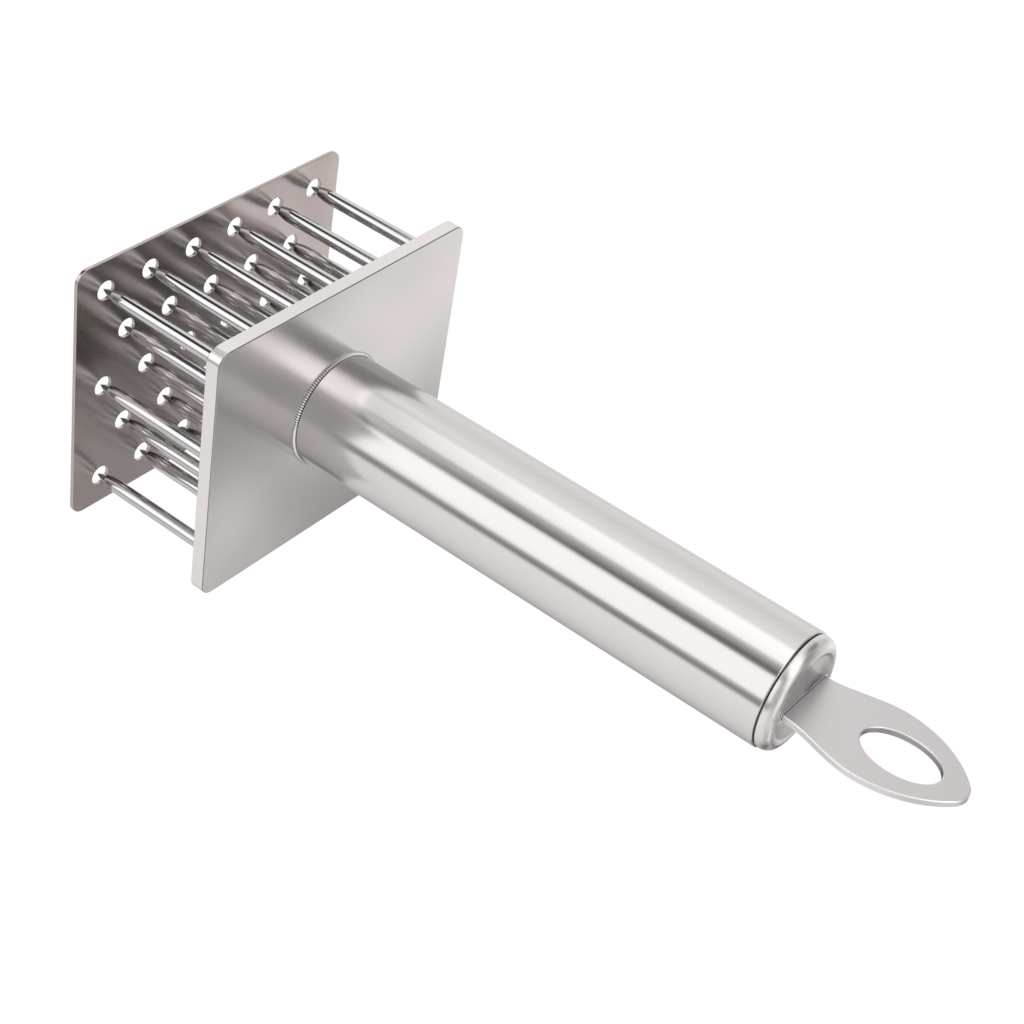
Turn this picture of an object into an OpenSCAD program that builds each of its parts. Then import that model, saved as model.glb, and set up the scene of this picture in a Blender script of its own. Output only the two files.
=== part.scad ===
/* [Plates] */
// Length of the base plate along its long rows of needles
base_w = 73.5; // [68:0.5:90]
// Width of the base plate across the rows
base_d = 60.5; // [54:0.5:80]
// Thickness of the base plate
base_t = 3.3; // [3:0.1:6]
// Radius of the plates' corners
corner_r = 3; // [1:0.5:6]
// How far the guard plate reaches past the base plate along the rows
guard_over_w = 1.5; // [0:0.1:3]
// How far the guard plate reaches past the base plate across the rows
guard_over_d = 0.25; // [0:0.05:3]
// Thickness of the guard plate
guard_t = 0.8; // [0.6:0.1:2]
// Distance from the base plate's short edges to the first needles
edge_w = 6.25; // [4:0.25:8]
// Distance from the base plate's long edges to the first row
edge_d = 6.75; // [4:0.25:8]

/* [Needles] */
// Needles in a long row, an even number so that the rod passes between the middle two
long_row = 6; // [4:2:6]
// Diameter of a needle
needle_d = 3; // [2:0.1:3.4]
// Length of a needle below the base plate
needle_reach = 33.2; // [25:0.1:45]
// Length of the pointed end
point_l = 6; // [4:0.5:14]
// How deep a needle sits in the base plate
seat_depth = 2.4; // [1.5:0.1:2.6]
// How far the needle tips stay inside the guard plate's outer face
tip_inset = 0.6; // [0:0.05:0.7]
// Diameter of the guard plate's holes
guard_hole_d = 4.4; // [3.8:0.1:5]

/* [Guide rod] */
// Diameter of the rod
rod_d = 5; // [4:0.1:5.4]
// Diameter of the rod's foot where it is riveted through the guard plate
foot_d = 3.6; // [2.5:0.1:3.8]
// Diameter of the rod's threaded end
thread_d = 4; // [3:0.1:3.9]
// Outer diameter of the bush's barrel
bush_d = 7.4; // [6.8:0.1:7.8]
// Diameter of the bush's flange
bush_flange_d = 14; // [10:0.5:18]
// Thickness of the bush's flange
bush_flange_t = 1.5; // [1:0.1:3]
// Thickness of the stop washer
stop_t = 1.5; // [1:0.1:3]
// Thickness of the collar that lifts the spring
collar_t = 3; // [2:0.1:5]
// Width of the rod's nut across its flats
nut_w = 7; // [6:0.1:8]
// Height of the rod's nut
nut_h = 3.2; // [2:0.1:5]

/* [Handle] */
// Outer diameter of the handle tube
tube_d = 25; // [24:0.5:32]
// Wall of the handle tube
tube_wall = 1.2; // [0.8:0.1:1.5]
// Length of the handle tube
tube_l = 113; // [100:1:140]
// Width of the weld bead round the tube's foot
bead_w = 0.8; // [0.4:0.05:2]

/* [Spring] */
// Diameter of the spring's wire
wire_d = 1.4; // [1:0.1:1.8]
// Turns of the spring
spring_turns = 16; // [10:1:20]

/* [End cap] */
// Height of the cap above the end of the tube
cap_h = 3; // [2.2:0.1:4]
// Wall of the cap
cap_wall = 1.2; // [0.8:0.1:1.4]
// Radius of the cap's rounded rim
cap_round = 2.1; // [1:0.1:2.1]
// Length of the cap's skirt inside the tube
skirt_l = 7; // [5:0.5:12]
// Thickness of the spring's upper seat
seat_t = 1.5; // [1:0.1:3]

/* [Hanging tab] */
// Thickness of the tab
tab_t = 1.5; // [1:0.1:2.5]
// Width of the tab's neck
neck_w = 15.8; // [12:0.1:16]
// Greatest width of the tab
leaf_w = 22.4; // [18:0.1:26]
// Length of the tab past the cap
leaf_l = 34.95; // [30:0.05:45]
// Height of the widest place above the cap
leaf_mid = 16.2; // [12:0.1:18]
// Radius of the tab's rounded tip
tab_tip_r = 4.5; // [2:0.1:6]
// Width of the tab's eye
eye_w = 11; // [6:0.1:12]
// Length of the tab's eye
eye_l = 16.5; // [10:0.1:18]
// Height of the eye's middle above the cap
eye_mid = 20.9; // [19:0.1:22]
// Turn of the tab about the handle's axis, in degrees
tab_turn = -2; // [-15:1:15]

/* [Hidden] */
$fn = 48;
// The middle one of five rows is a long one, which leaves its middle free for the rod
rows = 5;
// Running gap all round the rod in its bush
rod_gap = 0.05;
// Gap all round a piece that is pressed or welded into its seat
press_gap = 0.02;
// Gap all round a loose piece that is guided by a bore
loose_gap = 0.3;
// Gap left between the plates at the end of the guard's travel
travel_gap = 0.05;
// How far a cut runs past the face it opens
cut_over = 1;
// Chamfer on the outer edge of the tube's end
tube_chamfer = 0.2;
// Share of the tube's wall that its foot's chamfer takes off for the weld
prep_share = 0.5;
// Gap between the weld bead and that chamfer
prep_gap = 0.05;
// Height of the dark seam between the tube's end and the cap's rim
cap_seam = 0.35;
// Radius of the rim's lower edge, above the seam
cap_groove = 0.15;
// How far the cap's rim stays inside the tube's outside
cap_inset = 0.3;
// Radius inside the cap between its skirt and its face
cap_inner_round = 0.5;
// Gap between the tab and the cap's slot, and between its foot and the skirt
tab_gap = 0.15;
// Chamfer round the mouth of the cap's slot
slot_lip = 0.25;
// Height and radial gap of the boss that centres the spring on its upper seat
boss_h = 2;
boss_gap = 0.4;
// Gap between the spring and the tube
spring_gap = 1.2;
// Clear space between the wires of the closed turns at the spring's ends
closed_gap = 0.5;
// Length of thread that shows above the nut
thread_proud = 1;
point_steps = 8;
leaf_steps = 14;
eye_steps = 48;
arc_steps = 8;
wire_sides = 6;
turn_steps = 14;

// Heights, from the guard plate's outer face upwards
base_z = tip_inset + needle_reach;
base_top = base_z + base_t;
flange_top = base_top + bush_flange_t;
stop_top = flange_top + stop_t;
collar_top = stop_top + collar_t;
nut_top = collar_top + nut_h;
tube_top = base_top + tube_l;
cap_top = tube_top + cap_h;
skirt_z = tube_top - skirt_l;
seat_z = skirt_z - seat_t;
guard_travel = base_z - guard_t - travel_gap;
echo(guard_travel = guard_travel);

// Plate and pattern sizes that follow from the ones above
guard_w = base_w + 2 * guard_over_w;
guard_d = base_d + 2 * guard_over_d;
pitch_w = (base_w - 2 * edge_w) / (long_row - 1);
pitch_d = (base_d - 2 * edge_d) / (rows - 1);

// Radii inside the handle
tube_r = tube_d / 2;
bore_r = tube_r - tube_wall;
skirt_r = bore_r - press_gap;
skirt_in_r = skirt_r - cap_wall;
rim_r = tube_r - cap_inset;
rim_round = min(cap_round, cap_h - cap_seam - cap_groove);
land_r = bore_r + tube_wall / 2;
foot_r = tube_r - prep_share * tube_wall;
collar_r = bore_r - loose_gap;
spring_r = bore_r - spring_gap - wire_d / 2;
foot_w = 2 * (skirt_in_r - cap_inner_round - tab_gap);

function row_count(r) = long_row - r % 2;
function needle_name(r, c) = str("needle_", chr(ord("a") + r), c + 1);
function needle_x(r, c) = (c - (row_count(r) - 1) / 2) * pitch_w;
function needle_y(r) = ((rows - 1) / 2 - r) * pitch_d;

// Runs its children at each needle's place
module at_needles() {
    for (r = [0 : rows - 1])
        for (c = [0 : row_count(r) - 1])
            translate([needle_x(r, c), needle_y(r), 0]) children();
}

// A plate with round corners, standing on z = 0
module rounded_plate(w, d, t, r) {
    linear_extrude(t) {
        square([w - 2 * r, d], center = true);
        square([w, d - 2 * r], center = true);
        for (x = [-1, 1], y = [-1, 1])
            translate([x * (w / 2 - r), y * (d / 2 - r)]) circle(r);
    }
}

// Points of a circular arc, from angle a to angle b
function arc(x, y, r, a, b, steps) =
    [for (i = [0 : steps]) [x + r * cos(a + (b - a) * i / steps), y + r * sin(a + (b - a) * i / steps)]];

// A needle is a round pin that ends in a long bullet-shaped point
point_r = (needle_d * needle_d / 4 + point_l * point_l) / needle_d;

module needle(r, c) {
    profile = concat(
        [for (i = [0 : point_steps])
            let (h = point_l * i / point_steps)
            [sqrt(point_r * point_r - pow(point_l - h, 2)) + needle_d / 2 - point_r, tip_inset + h]],
        [[needle_d / 2, base_z + seat_depth], [0, base_z + seat_depth]]
    );
    color("gainsboro")
        translate([needle_x(r, c), needle_y(r), 0])
            rotate_extrude() polygon(profile);
}

// The thin plate covers the needle tips and slides up them with the rod
module guard_plate() {
    color("silver")
        difference() {
            rounded_plate(guard_w, guard_d, guard_t, corner_r);
            at_needles() translate([0, 0, -cut_over]) cylinder(d = guard_hole_d, h = guard_t + 2 * cut_over);
            translate([0, 0, -cut_over]) cylinder(d = foot_d + 2 * press_gap, h = guard_t + 2 * cut_over);
        }
}

// The rod stands on the guard plate and ends in the thread that holds the collar
module guide_rod() {
    color("lightgray") {
        cylinder(d = foot_d, h = guard_t + rod_gap);
        translate([0, 0, guard_t]) cylinder(d = rod_d, h = stop_top - guard_t);
        translate([0, 0, stop_top - rod_gap])
            cylinder(d = thread_d, h = nut_top + thread_proud - stop_top + rod_gap);
    }
}

// The collar runs in the tube's bore, carries the spring and lands on the stop washer
module rod_collar() {
    color("darkgray")
        translate([0, 0, stop_top])
            difference() {
                cylinder(r = collar_r, h = collar_t);
                translate([0, 0, -cut_over])
                    cylinder(d = thread_d + 2 * rod_gap, h = collar_t + 2 * cut_over);
            }
}

module rod_nut() {
    color("goldenrod")
        translate([0, 0, collar_top])
            difference() {
                cylinder(d = nut_w / cos(30), h = nut_h, $fn = 6);
                translate([0, 0, -cut_over]) cylinder(d = thread_d + 2 * rod_gap, h = nut_h + 2 * cut_over);
            }
}

// The thick plate has a blind seat for each needle and the bush's hole at its middle
module base_plate() {
    color("silver")
        difference() {
            translate([0, 0, base_z]) rounded_plate(base_w, base_d, base_t, corner_r);
            at_needles()
                translate([0, 0, base_z - cut_over])
                    cylinder(d = needle_d + 2 * press_gap, h = seat_depth + cut_over);
            translate([0, 0, base_z - cut_over])
                cylinder(d = bush_d + 2 * press_gap, h = base_t + 2 * cut_over);
        }
}

module guide_bush() {
    color("peru")
        difference() {
            union() {
                translate([0, 0, base_z]) cylinder(d = bush_d, h = base_t + bush_flange_t);
                translate([0, 0, base_top]) cylinder(d = bush_flange_d, h = bush_flange_t);
            }
            translate([0, 0, base_z - cut_over])
                cylinder(d = rod_d + 2 * rod_gap, h = base_t + bush_flange_t + 2 * cut_over);
        }
}

module stop_washer() {
    color("ivory")
        translate([0, 0, flange_top])
            difference() {
                cylinder(d = bush_flange_d, h = stop_t);
                translate([0, 0, -cut_over]) cylinder(d = rod_d + 2 * loose_gap, h = stop_t + 2 * cut_over);
            }
}

// The bead fills the corner between the tube's chamfered foot and the base plate
module weld_bead() {
    color("whitesmoke")
        rotate_extrude()
            polygon(concat([[foot_r + prep_gap, base_top]],
                arc(tube_r, base_top, bead_w, 0, 90, arc_steps)));
}

module handle_tube() {
    color("lightgray")
        rotate_extrude()
            polygon([
                [bore_r, base_top], [foot_r, base_top], [tube_r, base_top + bead_w + prep_gap],
                [tube_r, tube_top - tube_chamfer], [tube_r - tube_chamfer, tube_top], [bore_r, tube_top]
            ]);
}

// A compression spring with closed ends, as one round wire swept along its helix
function spring_rise(t) =
    let (closed = wire_d + closed_gap, span = seat_z - collar_top - wire_d)
    t < 1 ? closed * t :
    t > spring_turns - 1 ? span - closed * (spring_turns - t) :
    closed + (span - 2 * closed) * (t - 1) / (spring_turns - 2);

module rod_spring() {
    rings = spring_turns * turn_steps;
    points = [
        for (i = [0 : rings])
            let (a = 360 * i / turn_steps, z = collar_top + wire_d / 2 + spring_rise(i / turn_steps))
            for (k = [0 : wire_sides - 1])
                let (b = 360 * (k + 0.5) / wire_sides, d = spring_r + cos(b) * wire_d / 2)
                [d * cos(a), d * sin(a), z + sin(b) * wire_d / 2]
    ];
    sides = [
        for (i = [0 : rings - 1])
            for (k = [0 : wire_sides - 1])
                let (
                    next = (k + 1) % wire_sides,
                    p = i * wire_sides + k,
                    q = i * wire_sides + next,
                    s = p + wire_sides,
                    t = q + wire_sides
                )
                for (face = [[p, s, q], [q, s, t]]) face
    ];
    first = [for (k = [1 : wire_sides - 2]) [0, k, k + 1]];
    base = rings * wire_sides;
    last = [for (k = [1 : wire_sides - 2]) [base, base + k + 1, base + k]];
    color("gray") polyhedron(points, concat(sides, first, last));
}

// The disc that closes the spring's upper end, with a boss that centres it
module spring_seat() {
    color("darkgray") {
        translate([0, 0, seat_z]) cylinder(r = skirt_r - loose_gap, h = seat_t);
        translate([0, 0, seat_z - boss_h])
            cylinder(r = spring_r - wire_d / 2 - boss_gap, h = boss_h + cut_over / 2);
    }
}

// Half of the cap's section: a drawn cup whose rim rests on the tube's end
module cap_section() {
    face_in = cap_top - cap_wall;
    polygon(concat(
        [[0, face_in]],
        arc(skirt_in_r - cap_inner_round, face_in - cap_inner_round, cap_inner_round, 90, 0, arc_steps),
        [[skirt_in_r, skirt_z], [skirt_r, skirt_z], [skirt_r, tube_top], [land_r, tube_top]],
        [[land_r, tube_top + cap_seam]],
        arc(rim_r - cap_groove, tube_top + cap_seam + cap_groove, cap_groove, -90, 0, arc_steps),
        arc(rim_r - rim_round, cap_top - rim_round, rim_round, 0, 90, arc_steps),
        [[0, cap_top]]
    ));
}

module end_cap() {
    slot_w = neck_w + 2 * tab_gap;
    slot_t = tab_t + 2 * tab_gap;
    color("silver")
        difference() {
            rotate_extrude() cap_section();
            rotate(tab_turn)
                translate([-slot_w / 2, -slot_t / 2, cap_top - cap_wall - cut_over])
                    cube([slot_w, slot_t, cap_wall + 2 * cut_over]);
            rotate(tab_turn)
                translate([-slot_w / 2, 0, cap_top])
                    rotate([90, 0, 90])
                        linear_extrude(slot_w)
                            polygon([
                                [-slot_t / 2, -slot_lip], [slot_t / 2, -slot_lip],
                                [slot_t / 2 + slot_lip, 0], [-slot_t / 2 - slot_lip, 0]
                            ]);
        }
}

// Half widths of the leaf from the cap's face to its tip: a smooth swell, a big arc and the round tip
leaf_top = leaf_l - leaf_mid - tab_tip_r;
leaf_r = (leaf_w * leaf_w / 4 - tab_tip_r * tab_tip_r + leaf_top * leaf_top) / (leaf_w - 2 * tab_tip_r);
leaf_turn = atan2(leaf_top, leaf_r - leaf_w / 2);

module leaf_outline() {
    swell = [
        for (i = [0 : leaf_steps - 1])
            let (t = i / leaf_steps)
            [neck_w / 2 + (leaf_w - neck_w) / 2 * (3 * t * t - 2 * t * t * t), leaf_mid * t]
    ];
    side = concat(
        [[neck_w / 2, -cap_wall]],
        swell,
        arc(leaf_w / 2 - leaf_r, leaf_mid, leaf_r, 0, leaf_turn, leaf_steps),
        [for (p = arc(0, leaf_l - tab_tip_r, tab_tip_r, leaf_turn, 90, arc_steps)) if (p[1] < leaf_l) p]
    );
    count = len(side);
    mirrored = [for (i = [0 : count - 1]) [-side[count - 1 - i][0], side[count - 1 - i][1]]];
    polygon(concat(side, [[0, leaf_l]], mirrored));
}

// The flat tab comes up through the cap's slot; its wide foot keeps it from pulling out
module hanging_tab() {
    color("lightgray")
        rotate(tab_turn)
            translate([0, tab_t / 2, cap_top])
                rotate([90, 0, 0])
                    linear_extrude(tab_t)
                        difference() {
                            union() {
                                leaf_outline();
                                translate([-foot_w / 2, skirt_z - cap_top])
                                    square([foot_w, cap_top - cap_wall - skirt_z]);
                            }
                            polygon([
                                for (i = [0 : eye_steps - 1])
                                    let (a = 360 * i / eye_steps)
                                    [eye_w / 2 * cos(a), eye_mid + eye_l / 2 * sin(a)]
                            ]);
                        }
}

guard_plate();
guide_rod();
rod_collar();
rod_nut();
base_plate();
guide_bush();
stop_washer();
weld_bead();
handle_tube();
rod_spring();
spring_seat();
end_cap();
hanging_tab();
for (r = [0 : rows - 1])
    for (c = [0 : row_count(r) - 1])
        needle(r, c);
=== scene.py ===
import math

import bmesh
import bpy
from mathutils import Matrix, Vector


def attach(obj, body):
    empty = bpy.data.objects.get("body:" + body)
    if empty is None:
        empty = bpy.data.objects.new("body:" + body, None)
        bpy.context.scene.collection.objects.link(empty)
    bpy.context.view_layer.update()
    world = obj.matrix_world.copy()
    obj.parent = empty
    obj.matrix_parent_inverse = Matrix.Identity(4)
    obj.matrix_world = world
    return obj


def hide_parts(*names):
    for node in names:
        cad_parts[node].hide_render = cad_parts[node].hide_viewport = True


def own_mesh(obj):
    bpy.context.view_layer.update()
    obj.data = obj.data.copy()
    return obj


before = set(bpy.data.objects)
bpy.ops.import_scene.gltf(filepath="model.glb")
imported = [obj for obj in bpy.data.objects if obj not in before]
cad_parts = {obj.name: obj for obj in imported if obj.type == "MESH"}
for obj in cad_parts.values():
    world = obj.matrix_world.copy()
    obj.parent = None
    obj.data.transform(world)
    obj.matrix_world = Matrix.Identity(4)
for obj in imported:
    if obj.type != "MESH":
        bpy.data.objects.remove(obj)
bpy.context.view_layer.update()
mm = 0.001
print("frame loaded:", len(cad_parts), "nodes")

# where the tool is seen from: places in metres, roll in degrees, lens in millimetres
camera = {
    "place": (-0.2779, 0.2647, 0.2508),
    "looksAt": (0.0007, 0.0007, 0.0833),
    "roll": 121.68,
    "lens": 74.36,
    "seesFrom": 0.01,
}


def makeCamera():
    data = bpy.data.cameras.new("camera")
    data.lens = camera["lens"]
    data.sensor_fit = "HORIZONTAL"
    data.clip_start = camera["seesFrom"]
    obj = bpy.data.objects.new("camera", data)
    bpy.context.scene.collection.objects.link(obj)
    ahead = Vector(camera["looksAt"]) - Vector(camera["place"])
    aim = ahead.to_track_quat("-Z", "Y").to_matrix().to_4x4()
    roll = Matrix.Rotation(math.radians(camera["roll"]), 4, "Z")
    obj.matrix_world = Matrix.Translation(camera["place"]) @ aim @ roll
    bpy.context.scene.camera = obj


makeCamera()


# one socket of a node tree, so that a finish is written as sums
class Wire:
    def __init__(self, tree, socket=None):
        self.tree = tree
        self.socket = socket

    # any node: settings first, then the values and links of its sockets
    def node(self, kind, settings=None, sockets=None, out=0):
        built = self.tree.nodes.new(kind)
        for key, value in (settings or {}).items():
            if key == "stops":
                stops = built.color_ramp.elements
                while len(stops) < len(value):
                    stops.new(0.5)
                for stop, (place, shade) in zip(stops, value):
                    stop.position = place
                    stop.color = (shade, shade, shade, 1)
            else:
                setattr(built, key, value)
        for key, value in (sockets or {}).items():
            if isinstance(value, Wire):
                self.tree.links.new(value.socket, built.inputs[key])
            else:
                built.inputs[key].default_value = value
        return Wire(self.tree, built.outputs[out] if len(built.outputs) else None)

    def other(self, out):
        return Wire(self.tree, self.socket.node.outputs[out])

    def math(self, operation, first, second=0.0):
        return self.node("ShaderNodeMath", {"operation": operation}, {0: first, 1: second})

    def __add__(self, value):
        return self.math("ADD", self, value)

    def __radd__(self, value):
        return self.math("ADD", value, self)

    def __sub__(self, value):
        return self.math("SUBTRACT", self, value)

    def __rsub__(self, value):
        return self.math("SUBTRACT", value, self)

    def __mul__(self, value):
        return self.math("MULTIPLY", self, value)

    def __rmul__(self, value):
        return self.math("MULTIPLY", value, self)

    def __truediv__(self, value):
        return self.math("DIVIDE", self, value)

    def __rtruediv__(self, value):
        return self.math("DIVIDE", value, self)

    def __pow__(self, value):
        return self.math("POWER", self, value)

    def __rpow__(self, value):
        return self.math("POWER", value, self)


def emptyTree(owner):
    owner.use_nodes = True
    owner.node_tree.nodes.clear()
    return Wire(owner.node_tree)


# 0 up to low, 1 from high on, and a soft passage between them
def ease(start, value, low, high):
    return start.node("ShaderNodeMapRange", {"interpolation_type": "SMOOTHSTEP"},
                      {"Value": value, "From Min": low, "From Max": high})


# what the metal mirrors, in seven rings from below the tool to the ceiling:
# (bearing round the tool in degrees, brightness where 1 is white);
# joins are the heights between which a ring takes over from the one below, -1 straight down and 1 straight up
studio = {
    "below": [(0, 0.12)],
    "under": [(0, 1.25), (30, 1.25), (36, 0.92), (45, 0.92), (50, 1.2), (58, 1.2), (64, 0.7), (70, 0.03),
              (106, 0.03), (113, 1.35), (130, 1.71), (165, 1.56), (172, 0.92), (178, 0.59), (184, 0.26),
              (190, 0.76), (225, 0.87), (250, 0.82), (280, 1.0), (300, 0.2), (330, 0.2), (345, 0.7)],
    "floor": [(0, 1.2), (30, 0.96), (60, 1.11), (70, 1.16), (76, 1.64), (104, 1.53), (110, 0.69), (127, 0.03),
              (134, 1.48), (173, 1.48), (179, 0.44), (187, 0.24), (193, 1.15), (250, 0.98), (280, 0.86),
              (300, 0.59), (330, 1.12)],
    "wall": [(0, 0.7), (22, 0.8), (32, 0.15), (54, 0.15), (70, 1.0), (85, 1.6), (110, 1.6), (122, 0.39),
             (130, 0.3), (180, 0.42), (190, 1.11), (230, 1.02), (260, 0.94), (290, 0.03), (300, 0.79),
             (313, 0.03), (320, 1.1), (330, 1.51), (345, 1.2)],
    "lamps": [(0, 0.82), (20, 0.73), (35, 0.54), (60, 0.52), (70, 1.17), (80, 1.77), (110, 2.0), (125, 0.9),
              (140, 0.72), (200, 0.85), (215, 0.77), (260, 0.63), (275, 0.29), (295, 1.69), (312, 0.26),
              (322, 1.36), (332, 0.72), (345, 1.08)],
    "high": [(0, 0.6), (30, 0.4), (60, 0.04), (90, 2.0), (120, 1.33), (150, 0.35), (180, 0.03), (210, 0.58),
             (240, 0.96), (270, 0.95), (290, 0.8), (305, 0.23), (320, 0.03), (335, 0.52)],
    "ceiling": [(0, 0.49), (50, 0.42), (65, 0.54), (80, 1.12), (130, 1.76), (150, 1.43), (190, 1.46),
                (205, 1.62), (250, 1.8), (270, 0.36), (285, 0.03), (340, 0.12)],
    "joins": {"under": (-0.92, -0.76), "floor": (-0.505, -0.475), "wall": (-0.12, 0.02), "lamps": (0.38, 0.46),
              "high": (0.6, 0.7), "ceiling": (0.8, 0.9)},
    "brightest": 2.0,
    "white": (1.0, 0.97, 0.958, 1),
}


def makeStudio():
    world = bpy.data.worlds.new("studio")
    bpy.context.scene.world = world
    start = emptyTree(world)
    way = start.node("ShaderNodeTexCoord", out="Generated")
    x = start.node("ShaderNodeSeparateXYZ", sockets={0: way})
    bearing = start.math("ARCTAN2", x.other(1), x) / (2 * math.pi)
    turnShare = start.math("FRACT", bearing + 1.0)
    height = x.other(2)

    def ring(name):
        marks = [(turn / 360, shade / studio["brightest"]) for turn, shade in studio[name]]
        marks.append((1.0, marks[0][1]))
        return start.node("ShaderNodeValToRGB", {"stops": marks}, {0: turnShare}) * studio["brightest"]

    mirrored = ring("below")
    for name, (low, high) in studio["joins"].items():
        share = ease(start, height, low, high)
        mirrored = mirrored * (1 - share) + ring(name) * share
    seen = start.node("ShaderNodeLightPath", out="Is Camera Ray")
    glow = start.node("ShaderNodeBackground", sockets={"Color": studio["white"], "Strength": mirrored})
    white = start.node("ShaderNodeBackground", sockets={"Color": (1, 1, 1, 1), "Strength": 1.0})
    both = start.node("ShaderNodeMixShader", sockets={0: seen, 1: glow, 2: white})
    start.node("ShaderNodeOutputWorld", sockets={"Surface": both})


makeStudio()
bpy.context.scene.view_settings.view_transform = "Standard"
print("camera and studio are set")


def startAfresh():
    if bpy.context.object and bpy.context.object.mode != "OBJECT":
        bpy.ops.object.mode_set(mode="OBJECT")
    bpy.ops.object.select_all(action="DESELECT")


# a white floor that keeps a faint shadow; the metal looks past it into the studio
ground = {"side": 6, "glow": 1.035, "glowShare": 0.94, "paint": (0.96, 0.96, 0.96, 1)}


def makeFloor():
    startAfresh()
    bpy.ops.mesh.primitive_plane_add(size=ground["side"], location=(0, 0, 0))
    floor = bpy.context.object
    floor.name = "floor"
    mat = bpy.data.materials.new("floorWhite")
    start = emptyTree(mat)
    seen = start.node("ShaderNodeLightPath", out="Is Camera Ray")
    glow = start.node("ShaderNodeEmission", sockets={"Color": (1, 1, 1, 1), "Strength": ground["glow"]})
    matt = start.node("ShaderNodeBsdfDiffuse", sockets={"Color": ground["paint"]})
    both = start.node("ShaderNodeMixShader", sockets={0: seen * ground["glowShare"], 1: matt, 2: glow})
    start.node("ShaderNodeOutputMaterial", sockets={"Surface": both})
    floor.data.materials.append(mat)
    floor.visible_glossy = False


makeFloor()


# finishes: tint, roughness and how strongly the brushing stretches a highlight (along, with its turn);
# where says if brush marks run straight (flat) or round the axis (round), and lines how closely they lie:
# per metre of x, y and z, or per metre of radius, radian of bearing and metre of height; depth is in metres;
# spread and mottle are how much roughness and tint vary; wave is how far the sheet waves, in metres;
# rippleGapShade paints shade into the gaps between ripples; outward makes the metal rougher from one radius to
# another;
# paintedLightBands paint shade or a highlight onto a stretch by darkening or lightening it: (measure, from, to,
# fade, times), in millimetres as the radii are
finishes = {
    "tubeSteel": {"tint": (0.65, 0.639, 0.637), "rough": 0.17, "along": 0.6, "turn": 0.25, "where": "round",
                  "lines": (0, 55, 25), "depth": 0.000005, "spread": 0.08, "mottle": 0.05},
    "plateSteel": {"tint": (0.725, 0.707, 0.702), "rough": 0.16, "along": 0.85, "turn": 0.25, "where": "round",
                   "lines": (60, 90, 0), "depth": 0.000001, "spread": 0.02, "mottle": 0.08,
                   "outward": {"rough": 0.258, "from": 16, "to": 36},
                   # painted shade on the top edge's bevel, painted light on the side faces and painted shade on the
                   # underside
                   "paintedLightBands": [("height", 36.92, 37.07, 0.01, 0.35), ("height", 33.95, 36.85, 0.03, 1.1),
                             ("height", 33.7, 33.84, 0.04, 0.4)]},
    # the dark brownish tint is painted shade from the needles over the sheet
    "guardSteelShaded": {"tint": (0.52, 0.464, 0.451), "rough": 0.23, "where": "flat", "wave": 0.0006,
                   "lines": (60, 900, 60), "depth": 0.0000001, "spread": 0.03, "mottle": 0.04},
    "capSteel": {"tint": (0.73, 0.721, 0.717), "rough": 0.3, "along": 0.85, "turn": 0.25, "where": "round",
                 "lines": (2600, 3, 0), "depth": 0.0000002, "spread": 0.03, "mottle": 0.03,
                 # painted shade in the seam above the tube, a painted highlight along the ridge and a painted
                 # highlight on the slot's lip
                 "paintedLightBands": [("height", 150.0, 150.35, 0.04, 0.12), ("radius", 9.87, 10.13, 0.05, 1.45),
                           ("slot", -0.1, 0.38, 0.04, 2.0)]},
    "tabSteel": {"tint": (0.71, 0.699, 0.702), "rough": 0.42, "where": "flat",
                 "lines": (1800, 1800, 40), "depth": 0.0000002, "spread": 0.04, "mottle": 0.03,
                 # painted shade on the eye's wall, a painted highlight on the bevels of its edges, and at the slot a
                 # painted highlight below a painted shadow
                 "paintedLightBands": [("eye", 0.9, 1.0, 0.015, 0.5), ("leaf", 0.5, 0.71, 0.03, 1.35),
                           ("height", 152.5, 152.93, 0.03, 1.4), ("height", 152.99, 153.2, 0.03, 0.3)]},
    "needleSteel": {"tint": (0.61, 0.622, 0.628), "rough": 0.075, "along": 0.9, "turn": 0.25, "where": "flat",
                    "lines": (3000, 3000, 60), "depth": 0.0000001, "spread": 0.02, "mottle": 0.03},
    # painted shade in the gaps between ripples and along the bead's two edges, where it meets the plate and the tube
    "beadSteel": {"tint": (0.9, 0.88, 0.87), "rough": 0.4, "where": "round", "rippleGapShade": 0.95,
                  "lines": (1500, 20, 1500), "depth": 0.000001, "spread": 0.06, "mottle": 0.08,
                  "paintedLightBands": [("radius", 13.07, 13.3, 0.04, 0.5), ("height", 37.67, 37.9, 0.04, 0.5)]},
    "turnedSteel": {"tint": (0.62, 0.61, 0.60), "rough": 0.3, "along": 0.5, "turn": 0.0, "where": "round",
                    "lines": (3000, 2, 3000), "depth": 0.000001, "spread": 0.05, "mottle": 0.04},
    "springSteel": {"tint": (0.56, 0.55, 0.54), "rough": 0.22, "where": "flat",
                    "lines": (1800, 1800, 1800), "depth": 0.000001, "spread": 0.06, "mottle": 0.06},
    "bronze": {"tint": (0.62, 0.44, 0.24), "rough": 0.32, "where": "round",
               "lines": (3000, 2, 3000), "depth": 0.000001, "spread": 0.06, "mottle": 0.08},
    "nylon": {"tint": (0.86, 0.85, 0.8), "rough": 0.5, "metal": 0.0, "where": "flat",
              "lines": (900, 900, 900), "depth": 0.000004, "spread": 0.05, "mottle": 0.03},
}

# how much light the metal keeps where it is seen at a slant
edgeTint = (0.72, 0.72, 0.72, 1)

# noise that all finishes share: patches and waves per metre, and how fine lines and patches get
noise = {"cloud": 70.0, "cloudDetail": 2.0, "wave": 60.0, "lineDetail": 3.0}


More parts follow.
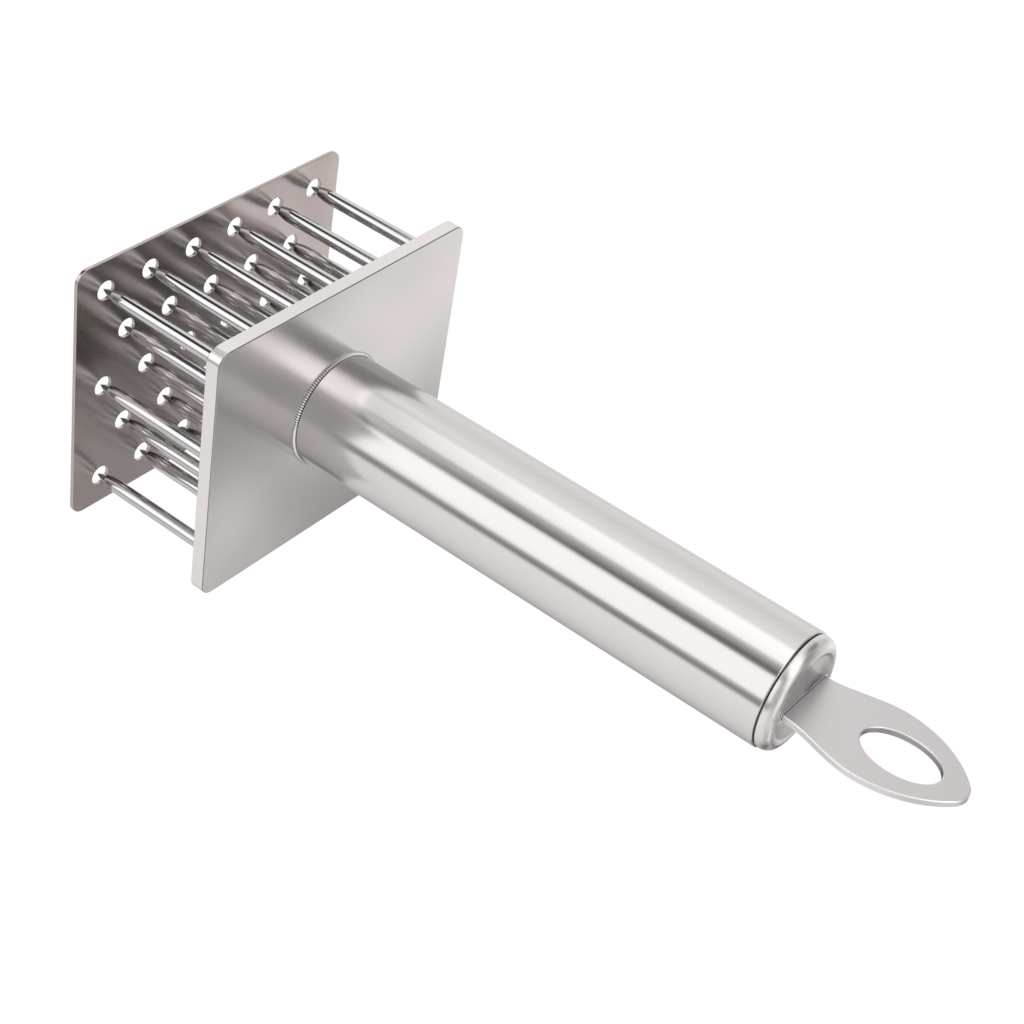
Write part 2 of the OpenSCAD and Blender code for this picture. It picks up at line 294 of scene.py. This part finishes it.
# how far a spot is from the floor, the axis, the tab's middle or the slot, or out from the eye (1 on its wall)
def measure(start, place, kind):
    x = start.node("ShaderNodeSeparateXYZ", sockets={0: place})
    y, z = x.other(1), x.other(2)
    if kind == "height":
        return z / mm
    if kind == "radius":
        return start.math("SQRT", x * x + y * y) / mm
    if kind == "eye":
        wide = x / (tab["eye"][0] / 2 * mm)
        long = (z - (tab["capTop"] + tab["eyeMiddle"]) * mm) / (tab["eye"][1] / 2 * mm)
        return start.math("SQRT", wide * wide + long * long)
    turn = math.radians(tab["turn"])
    across = start.math("ABSOLUTE", y * math.cos(turn) - x * math.sin(turn)) / mm
    if kind == "leaf":
        return across
    return start.math("MAXIMUM", start.math("ABSOLUTE", x) / mm - cap["slot"][0] / 2, across - cap["slot"][1] / 2)


# painted shade: 1 in the dark gaps between the bead's ripples, 0 on their ridges and where the bead is smooth
def rippleGapShade(start, where):
    bearing = start.node("ShaderNodeSeparateXYZ", sockets={0: where}, out=1)
    half = math.radians(bead["smoothTo"] - bead["smoothFrom"]) / 2
    middle = math.radians(bead["smoothTo"]) - half
    away = start.math("COSINE", bearing - middle)
    rippled = start.node("ShaderNodeMapRange", sockets={
        "Value": away, "From Min": math.cos(half), "From Max": math.cos(half + math.radians(bead["fade"]))})
    wave = start.math("COSINE", bearing * bead["ripples"]) * 0.5 + 0.5
    return wave ** bead["gapPower"] * rippled


def makeFinish(name):
    facts = finishes[name]
    mat = bpy.data.materials.new(name)
    start = emptyTree(mat)
    place = start.node("ShaderNodeTexCoord", out="Object")
    where = place
    if facts["where"] == "round":
        x = start.node("ShaderNodeSeparateXYZ", sockets={0: place})
        y = x.other(1)
        radius = start.math("SQRT", x * x + y * y)
        bearing = start.math("ARCTAN2", y, x)
        where = start.node("ShaderNodeCombineXYZ", sockets={0: radius, 1: bearing, 2: x.other(2)})
    stretched = start.node("ShaderNodeVectorMath", {"operation": "MULTIPLY"}, {0: where, 1: facts["lines"]})
    lines = start.node("ShaderNodeTexNoise", sockets={
        "Vector": stretched, "Scale": 1.0, "Detail": noise["lineDetail"]})
    cloud = start.node("ShaderNodeTexNoise", sockets={
        "Vector": place, "Scale": noise["cloud"], "Detail": noise["cloudDetail"]})
    shade = 1 + (cloud - 0.5) * facts["mottle"] + (lines - 0.5) * facts["mottle"]
    # painted shade in the gaps between the bead's ripples
    if "rippleGapShade" in facts:
        shade = shade * (1 - rippleGapShade(start, where) * facts["rippleGapShade"])
    # painted shade and painted highlights, one listed stretch after another
    for kind, low, high, fade, times in facts.get("paintedLightBands", []):
        spot = measure(start, place, kind)
        paintedLightMask = ease(start, spot, low - fade, low) * (1 - ease(start, spot, high, high + fade))
        shade = shade * (1 + paintedLightMask * (times - 1))
    colour = start.node("ShaderNodeMix", {"data_type": "RGBA", "blend_type": "MULTIPLY"},
                        {0: 1.0, 6: (*facts["tint"], 1), 7: shade}, out=2)
    rough = facts["rough"] + (lines - 0.5) * facts["spread"] + (cloud - 0.5) * facts["spread"]
    if "outward" in facts:
        outward = facts["outward"]
        far = ease(start, measure(start, place, "radius"), outward["from"], outward["to"])
        rough = rough + far * (outward["rough"] - facts["rough"])
    marks = {"Strength": 1.0, "Distance": facts["depth"], "Height": lines}
    if "wave" in facts:
        wide = start.node("ShaderNodeTexNoise", sockets={"Vector": place, "Scale": noise["wave"], "Detail": 0.0})
        marks["Normal"] = start.node("ShaderNodeBump", sockets={
            "Strength": 1.0, "Distance": facts["wave"], "Height": wide})
    bump = start.node("ShaderNodeBump", sockets=marks)
    shader = start.node("ShaderNodeBsdfPrincipled", sockets={
        "Base Color": colour, "Metallic": facts.get("metal", 1.0), "Roughness": rough, "Specular Tint": edgeTint,
        "Anisotropic": facts.get("along", 0.0), "Anisotropic Rotation": facts.get("turn", 0.0), "Normal": bump})
    start.node("ShaderNodeOutputMaterial", sockets={"Surface": shader})
    return mat


def shapeMode():
    bpy.ops.object.mode_set(mode="EDIT")


def restMode():
    bpy.ops.object.mode_set(mode="OBJECT")


# picks edges of the piece in edit mode by a test on each
def pickEdges(test):
    bpy.ops.mesh.select_mode(type="EDGE")
    bpy.ops.mesh.select_all(action="DESELECT")
    mesh = bmesh.from_edit_mesh(bpy.context.object.data)
    for edge in mesh.edges:
        if test(edge):
            edge.select_set(True)
    bmesh.update_edit_mesh(bpy.context.object.data)


def useModifier(obj, kind, **settings):
    modifier = obj.modifiers.new(kind, kind)
    for key, value in settings.items():
        setattr(modifier, key, value)
    bpy.context.view_layer.objects.active = obj
    bpy.ops.object.modifier_apply(modifier=modifier.name)


# takes away from the piece all that the cutter fills
def cutAway(obj, cutter):
    useModifier(obj, "BOOLEAN", operation="DIFFERENCE", object=cutter, solver="EXACT")
    bpy.data.objects.remove(cutter)


# moves the piece's place, turn and size into its mesh
def settle(obj):
    startAfresh()
    obj.select_set(True)
    bpy.context.view_layer.objects.active = obj
    bpy.ops.object.transform_apply(location=True, rotation=True, scale=True)


# the last steps of every piece: its place goes into the mesh, it gets its finish, and it stands for its node
def finishPiece(obj, node, body, finish, smooth=35):
    settle(obj)
    if smooth:
        bpy.ops.object.shade_smooth_by_angle(angle=math.radians(smooth))
    obj.data.materials.clear()
    obj.data.materials.append(made[finish])
    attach(obj, body)
    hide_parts(node)
    print(obj.name, "has", len(obj.data.polygons), "faces")


mergeWithin = 0.003 * mm  # points closer than this become one, which closes poles and seams


# a turned piece: one point is drawn along half its outline (radius, height) and spun round the axis
def turnPiece(name, outline, steps):
    startAfresh()
    bpy.ops.mesh.primitive_plane_add(size=0.1 * mm, location=(outline[0][0] * mm, 0, outline[0][1] * mm))
    obj = bpy.context.object
    obj.name = name
    shapeMode()
    bpy.ops.mesh.merge(type="CENTER")
    for (r0, z0), (r1, z1) in zip(outline, outline[1:]):
        bpy.ops.mesh.extrude_vertices_move(TRANSFORM_OT_translate={"value": ((r1 - r0) * mm, 0, (z1 - z0) * mm)})
    bpy.ops.mesh.select_all(action="SELECT")
    bpy.ops.mesh.spin(steps=steps, angle=2 * math.pi, center=(0, 0, 0), axis=(0, 0, 1))
    bpy.ops.mesh.select_all(action="SELECT")
    bpy.ops.mesh.remove_doubles(threshold=mergeWithin)
    bpy.ops.mesh.normals_make_consistent(inside=False)
    restMode()
    return obj


cornerSteps = 4  # in the small round corners of turned pieces


def arc(x, z, radius, start, end, steps):
    turns = [math.radians(start + (end - start) * i / steps) for i in range(steps + 1)]
    return [(x + radius * math.cos(a), z + radius * math.sin(a)) for a in turns]


# from 0 to 1 along t, level at both ends
def swell(t):
    return 3 * t * t - 2 * t ** 3


sharpEdge = math.radians(60)  # an edge this sharp or more gets rounded


# a flat piece: outlines are drawn as rings of points, filled, thickened and given rounded edges
def flatPiece(name, rings, low, thick, edge, rounds=3):
    startAfresh()
    bpy.ops.mesh.primitive_circle_add(vertices=len(rings[0]), radius=mm, location=(0, 0, 0))
    obj = bpy.context.object
    obj.name = name
    shapeMode()
    for ring in rings[1:]:
        bpy.ops.mesh.primitive_circle_add(vertices=len(ring), radius=mm, location=(0, 0, 0))
    mesh = bmesh.from_edit_mesh(obj.data)
    points = [p for ring in rings for p in ring]
    for vert, (x, y) in zip(mesh.verts, points):
        vert.co = (x * mm, y * mm, low * mm)
    bmesh.update_edit_mesh(obj.data)
    bpy.ops.mesh.select_all(action="SELECT")
    bpy.ops.mesh.fill(use_beauty=True)
    bpy.ops.mesh.select_all(action="SELECT")
    bpy.ops.mesh.extrude_region_move(TRANSFORM_OT_translate={"value": (0, 0, thick * mm)})
    bpy.ops.mesh.select_all(action="SELECT")
    bpy.ops.mesh.normals_make_consistent(inside=False)
    restMode()
    bpy.ops.object.shade_smooth()
    useModifier(obj, "BEVEL", width=edge * mm, segments=rounds, limit_method="ANGLE",
                angle_limit=sharpEdge, harden_normals=True, use_clamp_overlap=False)
    return obj


def roundedBox(width, depth, corner, steps=8):
    ring = []
    for turn, (sx, sy) in enumerate([(1, 1), (-1, 1), (-1, -1), (1, -1)]):
        ring += arc(sx * (width / 2 - corner), sy * (depth / 2 - corner), corner, 90 * turn, 90 * turn + 90, steps)
    return ring


def hole(x, y, radius, sides=40):
    return arc(x, y, radius, 0, 360 - 360 / sides, sides - 1)


# needles stand in five rows, 6 and 5 by turns; row a is at +y and number 1 at -x;
# pointRings is how many rings shape the point, and crowding draws them towards the tip
needles = {
    "rows": "abcde",
    "longRow": 6,
    "pitch": (12.2, 11.75),
    "radius": 1.5,
    "point": 6.0,
    "pointRings": 24,
    "crowding": 1.3,
    "tip": 0.6,
    "root": 36.1,
    "sides": 32,
}


def placeNeedles():
    places = {}
    for r, row in enumerate(needles["rows"]):
        count = needles["longRow"] - r % 2
        for c in range(count):
            x = (c - (count - 1) / 2) * needles["pitch"][0]
            y = (len(needles["rows"]) // 2 - r) * needles["pitch"][1]
            places[row + str(c + 1)] = (x, y)
    return places


needlePlaces = placeNeedles()


def makeNeedles():
    radius, point, rings = needles["radius"], needles["point"], needles["pointRings"]
    sweep = (radius * radius + point * point) / (2 * radius)
    outline = [(0, needles["tip"])]
    for i in range(1, rings + 1):
        up = point * (i / rings) ** needles["crowding"]
        outline.append((math.sqrt(sweep ** 2 - (point - up) ** 2) + radius - sweep, needles["tip"] + up))
    outline += [(radius, needles["root"]), (0, needles["root"])]
    first = turnPiece("needleMould", outline, needles["sides"])
    for name, (x, y) in needlePlaces.items():
        copy = bpy.data.objects.new("polished_needle_" + name, first.data.copy())
        bpy.context.scene.collection.objects.link(copy)
        copy.location = (x * mm, y * mm, 0)
        finishPiece(copy, "needle_" + name, "handle", "needleSteel", smooth=40)
    bpy.data.objects.remove(first)


# bore is the middle hole's radius for the bush; seat is how deep a needle stands in the plate, loose its play
basePlate = {"size": (73.5, 60.5), "low": 33.8, "thick": 3.3, "corner": 3.0, "edge": 0.22, "bore": 3.72,
             "boreDepth": 12, "boreSides": 48, "seat": 2.4, "loose": 0.02}


def makeBasePlate():
    obj = flatPiece("base_plate_brushed", [roundedBox(*basePlate["size"], basePlate["corner"])],
                    basePlate["low"], basePlate["thick"], basePlate["edge"])
    startAfresh()
    low = basePlate["low"] * mm
    bpy.ops.mesh.primitive_cylinder_add(vertices=basePlate["boreSides"], radius=basePlate["bore"] * mm,
                                        depth=basePlate["boreDepth"] * mm, location=(0, 0, low))
    cutter = bpy.context.object
    shapeMode()
    for x, y in needlePlaces.values():
        bpy.ops.mesh.primitive_cylinder_add(
            vertices=needles["sides"], radius=(needles["radius"] + basePlate["loose"]) * mm,
            depth=2 * basePlate["seat"] * mm, location=(x * mm, y * mm, low))
    restMode()
    cutAway(obj, cutter)
    finishPiece(obj, "base_plate", "handle", "plateSteel", smooth=0)


# hole is the radius of the needles' running holes, foot that of the hole for the rod
guardPlate = {"size": (76.5, 61.0), "low": 0.0, "thick": 0.8, "corner": 3.0, "edge": 0.12, "hole": 2.2, "foot": 1.82}


def makeGuardPlate():
    rings = [roundedBox(*guardPlate["size"], guardPlate["corner"]), hole(0, 0, guardPlate["foot"])]
    rings += [hole(x, y, guardPlate["hole"]) for x, y in needlePlaces.values()]
    obj = flatPiece("guard_plate_sheet", rings, guardPlate["low"], guardPlate["thick"], guardPlate["edge"], rounds=2)
    finishPiece(obj, "guard_plate", "guard", "guardSteelShaded", smooth=0)


# prep is the chamfer at the foot, across and up; hold is a narrow ring that keeps the long wall's shading straight
tube = {"outer": 12.5, "bore": 11.3, "low": 37.1, "top": 150.1, "rim": 0.2, "prep": (0.6, 0.67), "hold": 0.08,
        "steps": 128}


def makeTube():
    outer, rim, top, low, hold = tube["outer"], tube["rim"], tube["top"], tube["low"], tube["hold"]
    prepIn, prepUp = tube["prep"]
    outline = [(tube["bore"], low), (outer - prepIn, low), (outer, low + prepUp)]
    outline += [(outer, low + prepUp + hold), (outer, top - rim - hold)]
    outline += arc(outer - rim, top - rim, rim, 0, 90, cornerSteps)
    outline += [(tube["bore"], top), (tube["bore"], low)]
    obj = turnPiece("brushed_tube", outline, tube["steps"])
    finishPiece(obj, "handle_tube", "handle", "tubeSteel", smooth=40)


# the bead's ripples are the weld's own pitch; between the two bearings it was wiped smooth, down to a remnant;
# gapPower narrows the painted shade in the gaps between ripples
bead = {"inner": 12.5, "foot": 11.95, "low": 37.1, "width": 0.62, "ripples": 142, "perRipple": 8, "depth": 0.34,
        "smoothFrom": 177, "smoothTo": 330, "fade": 8, "remnant": 0.12, "gapPower": 2.5, "arcSteps": 7}


def makeBead():
    outline = [(bead["foot"], bead["low"])]
    outline += arc(bead["inner"], bead["low"], bead["width"], 0, 90, bead["arcSteps"])
    outline.append(outline[0])
    obj = turnPiece("rippled_bead", outline, bead["ripples"] * bead["perRipple"])
    middle = (bead["smoothFrom"] + bead["smoothTo"]) / 2
    half = (bead["smoothTo"] - bead["smoothFrom"]) / 2
    for vert in obj.data.vertices:
        x, y, z = obj.matrix_world @ vert.co / mm
        turn = math.atan2(y, x)
        away = abs((math.degrees(turn) - middle + 180) % 360 - 180)
        amount = min(1, max(bead["remnant"], (away - half) / bead["fade"]))
        dip = 1 - bead["depth"] * amount * (0.5 + 0.5 * math.cos(turn * bead["ripples"]))
        out = math.hypot(x, y) - bead["inner"]
        far = bead["inner"] + (out * dip if out > 0 else out)
        vert.co = obj.matrix_world.inverted() @ Vector((far * math.cos(turn) * mm, far * math.sin(turn) * mm,
                                                        (bead["low"] + (z - bead["low"]) * dip) * mm))
    finishPiece(obj, "weld_bead", "handle", "beadSteel", smooth=75)


# middle is how high above the cap the leaf is widest, tip its end's radius; foot and footLow are below the cap
tab = {"turn": -2, "thick": 1.5, "neck": 15.8, "leaf": 22.4, "length": 34.95, "middle": 16.2, "tip": 4.5,
       "eye": (11.0, 16.5), "eyeMiddle": 20.9, "foot": 18.3, "footLow": -10.0, "edge": 0.28, "capTop": 153.1,
       "wall": 1.2, "neckSteps": 20, "leafSteps": 24, "tipSteps": 12, "eyeSteps": 72}


def tabOutline():
    neck, leaf, length, middle, tip = tab["neck"], tab["leaf"], tab["length"], tab["middle"], tab["tip"]
    above = length - middle - tip
    sweep = (leaf * leaf / 4 - tip * tip + above * above) / (leaf - 2 * tip)
    end = math.degrees(math.atan2(above, sweep - leaf / 2))
    side = [(tab["foot"] / 2, tab["footLow"]), (tab["foot"] / 2, -tab["wall"]), (neck / 2, -tab["wall"])]
    for i in range(tab["neckSteps"]):
        t = i / tab["neckSteps"]
        side.append((neck / 2 + (leaf - neck) / 2 * swell(t), middle * t))
    side += arc(leaf / 2 - sweep, middle, sweep, 0, end, tab["leafSteps"])
    side += arc(0, length - tip, tip, end, 90, tab["tipSteps"])[1:-1]
    return side + [(0, length)] + [(-x, y) for x, y in reversed(side)]


def eyeOutline():
    wide, long = tab["eye"]
    turns = [2 * math.pi * i / tab["eyeSteps"] for i in range(tab["eyeSteps"])]
    return [(wide / 2 * math.cos(a), tab["eyeMiddle"] + long / 2 * math.sin(a)) for a in turns]


def makeTab():
    obj = flatPiece("leaf_tab", [tabOutline(), eyeOutline()], -tab["thick"] / 2, tab["thick"], tab["edge"])
    stand = Matrix.Rotation(math.radians(tab["turn"]), 4, "Z") @ Matrix.Rotation(math.radians(90), 4, "X")
    obj.matrix_world = Matrix.Translation((0, 0, tab["capTop"] * mm)) @ stand
    finishPiece(obj, "hanging_tab", "handle", "tabSteel", smooth=0)


# a drawn cup: the rim's round and a narrow ridge, then the flank eases down by dish to the face;
# seam and groove are the fine gap above the tube, slot is long and wide, lip is the slot's soft edge
cap = {"rim": 12.2, "round": 2.1, "top": 153.1, "low": 150.1, "seam": 0.3, "groove": 0.15, "land": 11.9,
       "skirt": 11.28, "skirtLow": 143.1, "wall": 1.2, "innerRound": 0.5, "slot": (16.1, 1.8), "slotCut": 4,
       "lip": 0.4, "lipReach": 0.05, "lipSteps": 3, "ridge": 0.25, "dish": 0.12, "flank": 0.9, "flankSteps": 8,
       "hold": 0.08, "rimSteps": 14, "steps": 128}


def makeCap():
    rim, top, low, wide = cap["rim"], cap["top"], cap["low"], cap["round"]
    inside, inner, seamTop = cap["skirt"] - cap["wall"], cap["innerRound"], low + cap["seam"]
    faceIn = top - cap["wall"]
    outline = [(0, faceIn)] + arc(inside - inner, faceIn - inner, inner, 90, 0, cornerSteps)
    outline += [(inside, cap["skirtLow"]), (cap["skirt"], cap["skirtLow"]), (cap["skirt"], low)]
    outline += [(cap["land"], low), (cap["land"], seamTop)]
    outline += arc(rim - cap["groove"], seamTop + cap["groove"], cap["groove"], -90, 0, cornerSteps)
    outline += arc(rim - wide, top - wide, wide, 0, 90, cap["rimSteps"])
    ridgeIn = rim - wide - cap["ridge"]
    flankIn = ridgeIn - cap["flank"]
    face = top - cap["dish"]
    for i in range(cap["flankSteps"]):
        t = i / cap["flankSteps"]
        outline.append((ridgeIn - cap["flank"] * t, top - cap["dish"] * swell(t)))
    outline += [(flankIn, face), (flankIn - cap["hold"], face), (0, face)]
    obj = turnPiece("drawn_cap", outline, cap["steps"])
    cutSlot(obj)
    softenSlot(obj, face * mm)
    finishPiece(obj, "end_cap", "handle", "capSteel", smooth=35)


def cutSlot(obj):
    startAfresh()
    bpy.ops.mesh.primitive_cube_add(size=mm, location=(0, 0, cap["top"] * mm))
    cutter = bpy.context.object
    cutter.scale = (*cap["slot"], cap["slotCut"])
    cutter.rotation_euler = (0, 0, math.radians(tab["turn"]))
    bpy.context.view_layer.update()
    cutAway(obj, cutter)


# rounds the slot's edge where it meets the face
def softenSlot(obj, face):
    settle(obj)
    shapeMode()
    near = 0.001 * mm
    reach = cap["slot"][0] / 2 * mm + cap["lipReach"] * mm

    def onLip(edge):
        a, b = (v.co for v in edge.verts)
        flat = abs(a.z - face) < near and abs(b.z - face) < near
        steep = any(abs(f.normal.z) < 0.5 for f in edge.link_faces)
        return flat and steep and max(abs(a.x), abs(b.x)) < reach

    pickEdges(onLip)
    bpy.ops.mesh.bevel(offset=cap["lip"] * mm, segments=cap["lipSteps"], affect="EDGES")
    restMode()


# closed is the pitch of the first and the last turn, which lie nearly flat
spring = {"radius": 9.4, "wire": 0.7, "wireSteps": 2, "low": 43.1, "high": 141.6, "turns": 16, "closed": 1.9,
          "perTurn": 36}


def makeSpring():
    wire, turns, closed = spring["wire"], spring["turns"], spring["closed"]
    span = spring["high"] - spring["low"] - 2 * wire

    def rise(t):
        if t < 1:
            return closed * t
        if t > turns - 1:
            return span - closed * (turns - t)
        return closed + (span - 2 * closed) * (t - 1) / (turns - 2)

    startAfresh()
    data = bpy.data.curves.new("coil", "CURVE")
    data.dimensions = "3D"
    line = data.splines.new("POLY")
    line.points.add(turns * spring["perTurn"])
    for i, point in enumerate(line.points):
        t = i / spring["perTurn"]
        a = 2 * math.pi * t
        point.co = (spring["radius"] * math.cos(a) * mm, spring["radius"] * math.sin(a) * mm,
                    (spring["low"] + wire + rise(t)) * mm, 1)
    data.bevel_depth = wire * mm
    data.bevel_resolution = spring["wireSteps"]
    data.use_fill_caps = True
    obj = bpy.data.objects.new("coil_spring", data)
    bpy.context.scene.collection.objects.link(obj)
    obj.select_set(True)
    bpy.context.view_layer.objects.active = obj
    bpy.ops.object.convert(target="MESH")
    obj = bpy.context.object
    finishPiece(obj, "rod_spring", "handle", "springSteel", smooth=60)
    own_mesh(obj)


made = {name: makeFinish(name) for name in finishes}
print("finishes are made:", len(made))

makeBasePlate()
makeGuardPlate()
makeNeedles()
makeTube()
makeBead()
makeTab()
makeCap()
makeSpring()
print("new pieces are made")

# nodes whose shapes stay as they are
keptNodes = {"guide_rod": "turnedSteel", "rod_collar": "turnedSteel", "rod_nut": "turnedSteel",
             "spring_seat": "turnedSteel", "guide_bush": "bronze", "stop_washer": "nylon"}
for name, finish in keptNodes.items():
    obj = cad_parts[name]
    obj.data.materials.clear()
    obj.data.materials.append(made[finish])
print("kept nodes have their finishes:", len(keptNodes))
